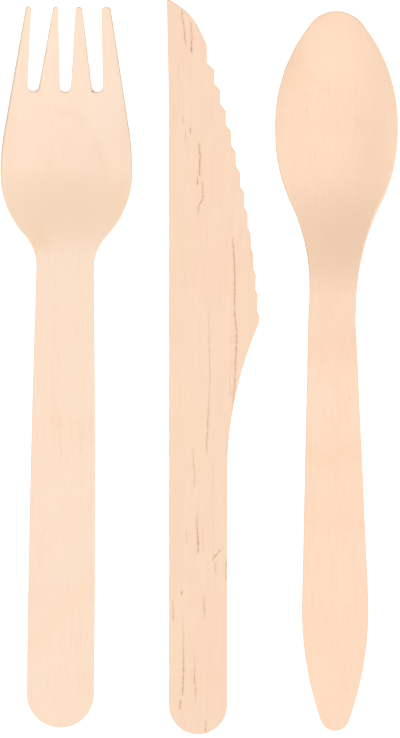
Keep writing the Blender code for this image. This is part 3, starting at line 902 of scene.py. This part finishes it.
def knife_birch():
    """Birch with brown streaks that run along the blade and handle."""
    grain, shade, height, gloss = birch("knife_birch_look", KNIFE_COLOUR, KNIFE_TONE, seed=2)
    wobble = grain.swing(grain.noise((40.0, 2.2, 40.0), 3.0, 0.6), STREAK_WOBBLE)
    thick = grain.range(grain.noise((40.0, 0.9, 40.0), 2.0, 0.6, shift=(3, 0, 0)), 0.3, 0.7, 0.45, 1.45)
    streaks = flanks = 0.0
    for route in KNIFE_STREAKS:
        core, flank = grain.streak(route, STREAK_WIDTH, wobble, thick)
        streaks = grain.math("MAXIMUM", streaks, core)
        flanks = grain.math("MAXIMUM", flanks, flank)
    front = grain.range(grain.marked("depth"), 0.55, 0.85)
    grainy = grain.range(grain.noise((0.2, 1.2, 0.2), 2.0, 0.6), 0.25, 0.6, 0.55, 1.0)
    streaks = grain.times(grain.times(streaks, grainy), front)

    # faint streaks everywhere, the back included, and bands between warm and pale, yellow and pink
    thin = grain.range(grain.noise((0.34, 12.0, 0.34), 2.0, 0.45, shift=(7, 3, 1)), 0.66, 0.74)
    thin = grain.times(thin, grain.range(grain.noise((6.0, 20.0, 6.0), 1.0), 0.45, 0.6))
    thin = grain.times(thin, grain.range(front, 0.0, 1.0, 0.7, 0.22))
    marks = grain.math("MAXIMUM", streaks, thin)
    halo = grain.range(grain.noise((1.3, 30.0, 1.3), 2.0, 0.5, shift=(2, 6, 1)), 0.55, 0.75)
    warm = tinted(KNIFE_COLOUR, (0.98, 0.93, 0.88))
    pale = tinted(KNIFE_COLOUR, (1.01, 1.03, 1.05))
    shade = grain.blend(grain.times(halo, 0.35), shade, warm)
    fibre = grain.noise((0.42, 15.0, 0.42), 3.0, 0.6, shift=(4, 9, 2))
    shade = grain.blend(grain.range(fibre, 0.52, 0.78, 0, 0.55), shade, warm)
    shade = grain.blend(grain.range(fibre, 0.46, 0.24, 0, 0.5), shade, pale)
    zone = grain.noise((6.0, 26.0, 6.0), 2.0, 0.5, 0.5, shift=(6, 1, 7))
    yellow = tinted(KNIFE_COLOUR, (0.985, 1.0, 0.935))
    pink = tinted(KNIFE_COLOUR, (1.0, 0.955, 0.965))
    shade = grain.blend(grain.range(zone, 0.50, 0.72, 0, 0.7), shade, yellow)
    shade = grain.blend(grain.range(zone, 0.48, 0.28, 0, 0.6), shade, pink)
    flanks = grain.times(grain.times(flanks, 0.38), front)
    shade = grain.blend(flanks, shade, FLANK_COLOUR)
    shade = grain.blend(grain.times(marks, 0.86), shade, STREAK_COLOUR)
    height = grain.math("SUBTRACT", height, grain.times(marks, 0.7))
    gloss = grain.math("ADD", gloss, grain.times(marks, 0.1), clamp=True)
    return finished(grain, shade, height, gloss)


def spoon_birch():
    """Birch with flamed bands across the handle and small flecks in the bowl."""
    grain, shade, height, gloss = birch("spoon_birch_look", SPOON_COLOUR, SPOON_TONE_AND_PAINTED_LIGHT, seed=3)
    y = grain.math("DIVIDE", grain.y, MM)

    # the neck and bowl are painted a little lighter: painted light that evens them with the handle, which
    # the lamp favours; the bowl also has specks
    bowl = grain.range(y, 20.0, 34.0)
    bowl_painted_light = grain.times(grain.range(y, 11.0, 20.0), grain.range(y, 71.0, 62.0))
    shade = grain.blend(bowl_painted_light, shade, (1.035, 1.035, 1.035), "MULTIPLY")
    speck = grain.range(grain.noise((0.7, 1.1, 0.7), 1.0, 0.4, shift=(1, 1, 4)), 0.74, 0.84)
    specks = grain.times(speck, grain.times(bowl, 0.10))
    shade = grain.blend(specks, shade, STREAK_COLOUR)

    # a faint slanting line across the bowl: paler above it, browner on it
    warm = tinted(SPOON_COLOUR, (1.0, 0.94, 0.89))
    pale = tinted(SPOON_COLOUR, (1.02, 1.035, 1.02))
    x = grain.math("DIVIDE", grain.x, MM)
    wave = grain.math("SUBTRACT", grain.noise((4.0, 4.0, 4.0), 2.0), 0.5)
    line = grain.curve(grain.x, BOWL_LINE, 40, 72)
    above = grain.math("SUBTRACT", grain.math("ADD", y, grain.times(wave, 1.6)), line)
    shade = grain.blend(grain.range(above, 0.5, 5.0, 0, 0.3), shade, pale)
    broken = grain.range(grain.noise((2.2, 3.5, 2.2), 2.0, 0.6, shift=(5, 2, 8)), 0.35, 0.70)
    on_line = grain.times(grain.range(grain.math("ABSOLUTE", above), 1.5, 0.1, 0, 0.85), broken)
    shade = grain.blend(on_line, shade, warm)

    # warmer spots, a golden zone where the neck runs into the bowl, which is painted light that lightens and
    # warms the shade on that slope, and a brown dot
    shifted = grain.math("ADD", y, grain.times(wave, 9.0))
    for place, reach, share in SPOON_WARM_SPOTS:
        spot = grain.spot(x, shifted, place, reach)
        shade = grain.blend(grain.times(spot, share), shade, warm)
    golden = tinted(SPOON_COLOUR, (1.05, 1.025, 0.985))
    shade = grain.blend(grain.times(grain.spot(x, shifted, *SPOON_GOLDEN_PAINTED_LIGHT_ZONE), 0.9), shade, golden)
    dot = grain.spot(x, shifted, *SPOON_DOT)
    shade = grain.blend(grain.times(dot, 0.10), shade, STREAK_COLOUR)
    return finished(grain, shade, height, gloss)


def lamp(name, tilt, turn, strength, spread):
    """A soft sun whose light comes from tilt degrees off the vertical, turned round from -Y."""
    data = bpy.data.lights.new(name, "SUN")
    data.energy = strength
    data.angle = radians(spread)
    made = bpy.data.objects.new(name, data)
    made.rotation_euler = (radians(tilt), 0, radians(turn))
    bpy.context.collection.objects.link(made)


def looking_rays(nodes, links):
    """1 for rays from the camera, also after a reflection or through glass, and 0 for light on surfaces."""
    path = nodes.new("ShaderNodeLightPath")
    found = path.outputs["Is Camera Ray"]
    for kind in ("Is Glossy Ray", "Is Transmission Ray"):
        either = nodes.new("ShaderNodeMath")
        either.operation = "MAXIMUM"
        links.new(found, either.inputs[0])
        links.new(path.outputs[kind], either.inputs[1])
        found = either.outputs[0]
    return found


def white_floor():
    """A matt floor whose glow is seen but lights nothing, so that it looks white under a soft light."""
    side = FLOOR_HALF_SIDE
    corners = [(-side, -side, 0), (side, -side, 0), (side, side, 0), (-side, side, 0)]
    mesh = bpy.data.meshes.new("floor")
    mesh.from_pydata(corners, [], [(0, 1, 2, 3)])
    floor = bpy.data.objects.new("floor", mesh)
    floor.location.z = -FLOOR_BELOW * MM
    bpy.context.collection.objects.link(floor)
    paint = bpy.data.materials.new("floor_white")
    paint.use_nodes = True
    nodes, links = paint.node_tree.nodes, paint.node_tree.links
    base = nodes["Principled BSDF"]
    base.inputs["Base Color"].default_value = (FLOOR_WHITE, FLOOR_WHITE, FLOOR_WHITE, 1)
    base.inputs["Roughness"].default_value = 0.9
    base.inputs["Specular IOR Level"].default_value = 0.0
    glow = nodes.new("ShaderNodeEmission")
    level = nodes.new("ShaderNodeMath")
    level.operation = "MULTIPLY"
    level.inputs[1].default_value = FLOOR_GLOW
    links.new(looking_rays(nodes, links), level.inputs[0])
    links.new(level.outputs[0], glow.inputs["Strength"])
    both = nodes.new("ShaderNodeAddShader")
    links.new(base.outputs[0], both.inputs[0])
    links.new(glow.outputs[0], both.inputs[1])
    links.new(both.outputs[0], nodes["Material Output"].inputs["Surface"])
    mesh.materials.append(paint)


def white_world():
    """A world that is white to look at and gives a weaker light."""
    world = bpy.data.worlds.new("white")
    bpy.context.scene.world = world
    world.use_nodes = True
    nodes, links = world.node_tree.nodes, world.node_tree.links
    back = nodes["Background"]
    back.inputs["Color"].default_value = (1, 1, 1, 1)
    strength = nodes.new("ShaderNodeMapRange")
    strength.inputs["To Min"].default_value = WORLD_LIGHT
    strength.inputs["To Max"].default_value = WORLD_SEEN
    links.new(looking_rays(nodes, links), strength.inputs["Value"])
    links.new(strength.outputs[0], back.inputs["Strength"])


def camera_above():
    data = bpy.data.cameras.new("camera")
    data.sensor_fit = "VERTICAL"
    data.sensor_height = SENSOR_HEIGHT
    data.lens = SENSOR_HEIGHT * CAMERA_PLACE[2] / PICTURE_HEIGHT
    data.clip_end = CLIP_END
    camera = bpy.data.objects.new("camera", data)
    camera.location = CAMERA_PLACE
    bpy.context.collection.objects.link(camera)
    bpy.context.scene.camera = camera


def studio():
    """A white floor and world, a soft main light from the butts' side, and the camera straight above."""
    white_floor()
    white_world()
    lamp("main_light", LIGHT_TILT, LIGHT_TURN, LIGHT_STRENGTH, LIGHT_SPREAD)
    camera_above()
    bpy.context.scene.view_settings.view_transform = "Standard"


def dress(name, outline, form, lean, seed, material):
    """Puts one utensil in place of its node, in its own material."""
    piece = utensil(name, outline, form, lean, seed)
    piece.data.materials.append(material)
    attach(piece, "root")
    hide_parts(name)


studio()
dress("fork", fork_outline(), fork_form, FORK_LEAN, seed=11, material=fork_birch())
dress("knife", knife_outline(), flat_form, 0.0, seed=12, material=knife_birch())
dress("spoon", spoon_outline(), spoon_form, SPOON_LEAN, seed=13, material=spoon_birch())
